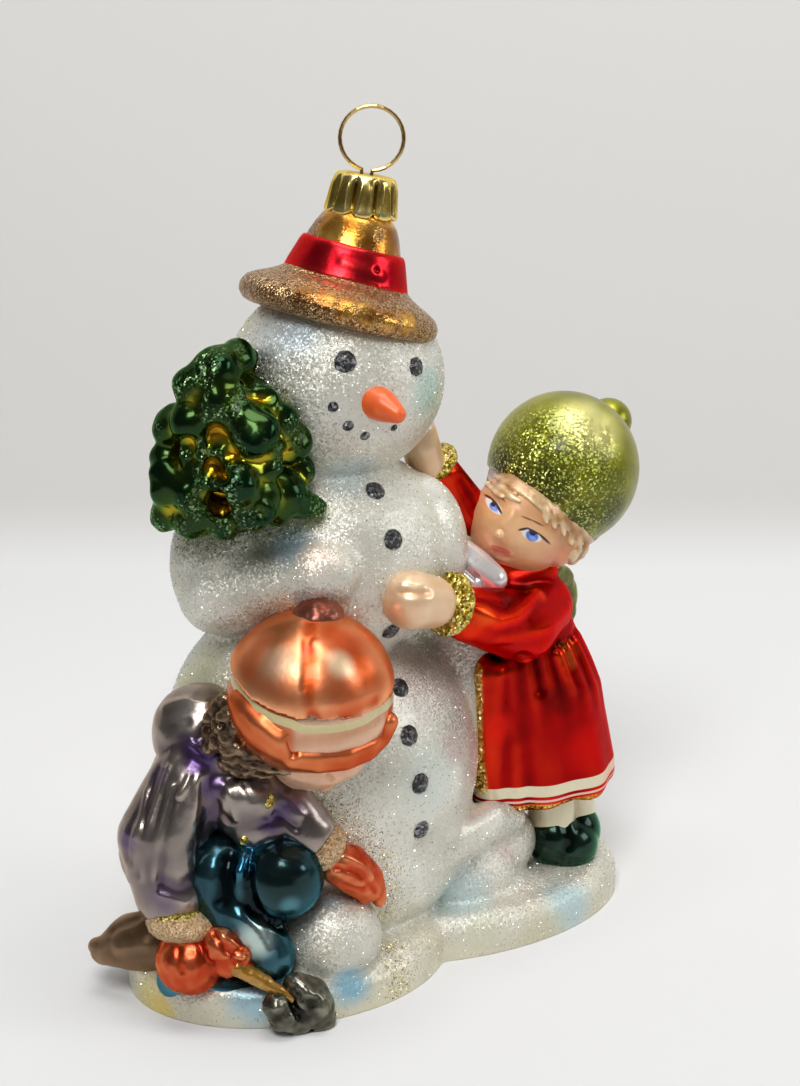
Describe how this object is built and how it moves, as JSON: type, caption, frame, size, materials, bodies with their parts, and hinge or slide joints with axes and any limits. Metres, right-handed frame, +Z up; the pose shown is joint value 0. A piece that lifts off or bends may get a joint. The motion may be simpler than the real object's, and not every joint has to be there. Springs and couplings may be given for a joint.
{
  "type": "blown glass snowman ornament",
  "caption": "Mouth-blown glass tree ornament: a hatted snowman with a little fir, a child reaching up and a child kneeling with a shovel, on a snow base, with a metal cap and a wire ring.",
  "frame": {"origin": "on the underside of the snow base, below the snowman's middle", "axes": "+Z up, -Y to the front, where the snowman's face looks, +X to the standing child's side"},
  "size_m": [0.1066, 0.0534, 0.1433],
  "materials": {
    "frosted_snow": "pearly white lacquer on silvered glass with fine frost glitter",
    "cap_gold": "bright stamped gold-coloured metal",
    "wire_gold": "bright gold-coloured spring wire",
    "coal_glitter": "black lacquer with coarse glitter",
    "nose_lacquer": "orange satin lacquer",
    "copper_glitter": "copper-brown lacquer with coarse gold glitter",
    "red_lacquer": "transparent red lacquer over silvered glass",
    "fir_lacquer": "dark green lacquer over silvered glass with gold hollows",
    "lime_lacquer": "olive to lime lacquer with green glitter",
    "skin_paint": "peach enamel with painted features",
    "hair_paint": "brown and blond enamel",
    "gold_glitter": "coarse gold glitter",
    "copper_lacquer": "satin copper-orange lacquer over silvered glass",
    "cream_paint": "pearly cream enamel",
    "purple_lacquer": "grey-purple lacquer over silvered glass",
    "teal_lacquer": "dark blue-green lacquer over silvered glass",
    "brown_lacquer": "brown satin lacquer",
    "pewter_lacquer": "dark pewter lacquer",
    "tan_glitter": "tan paint with fine sugar-like glitter"
  },
  "bodies": {
    "root": {"glass_figure": "frosted_snow", "crown_cap": "cap_gold", "wire_hanger": "wire_gold"}
  },
  "joints": []
}
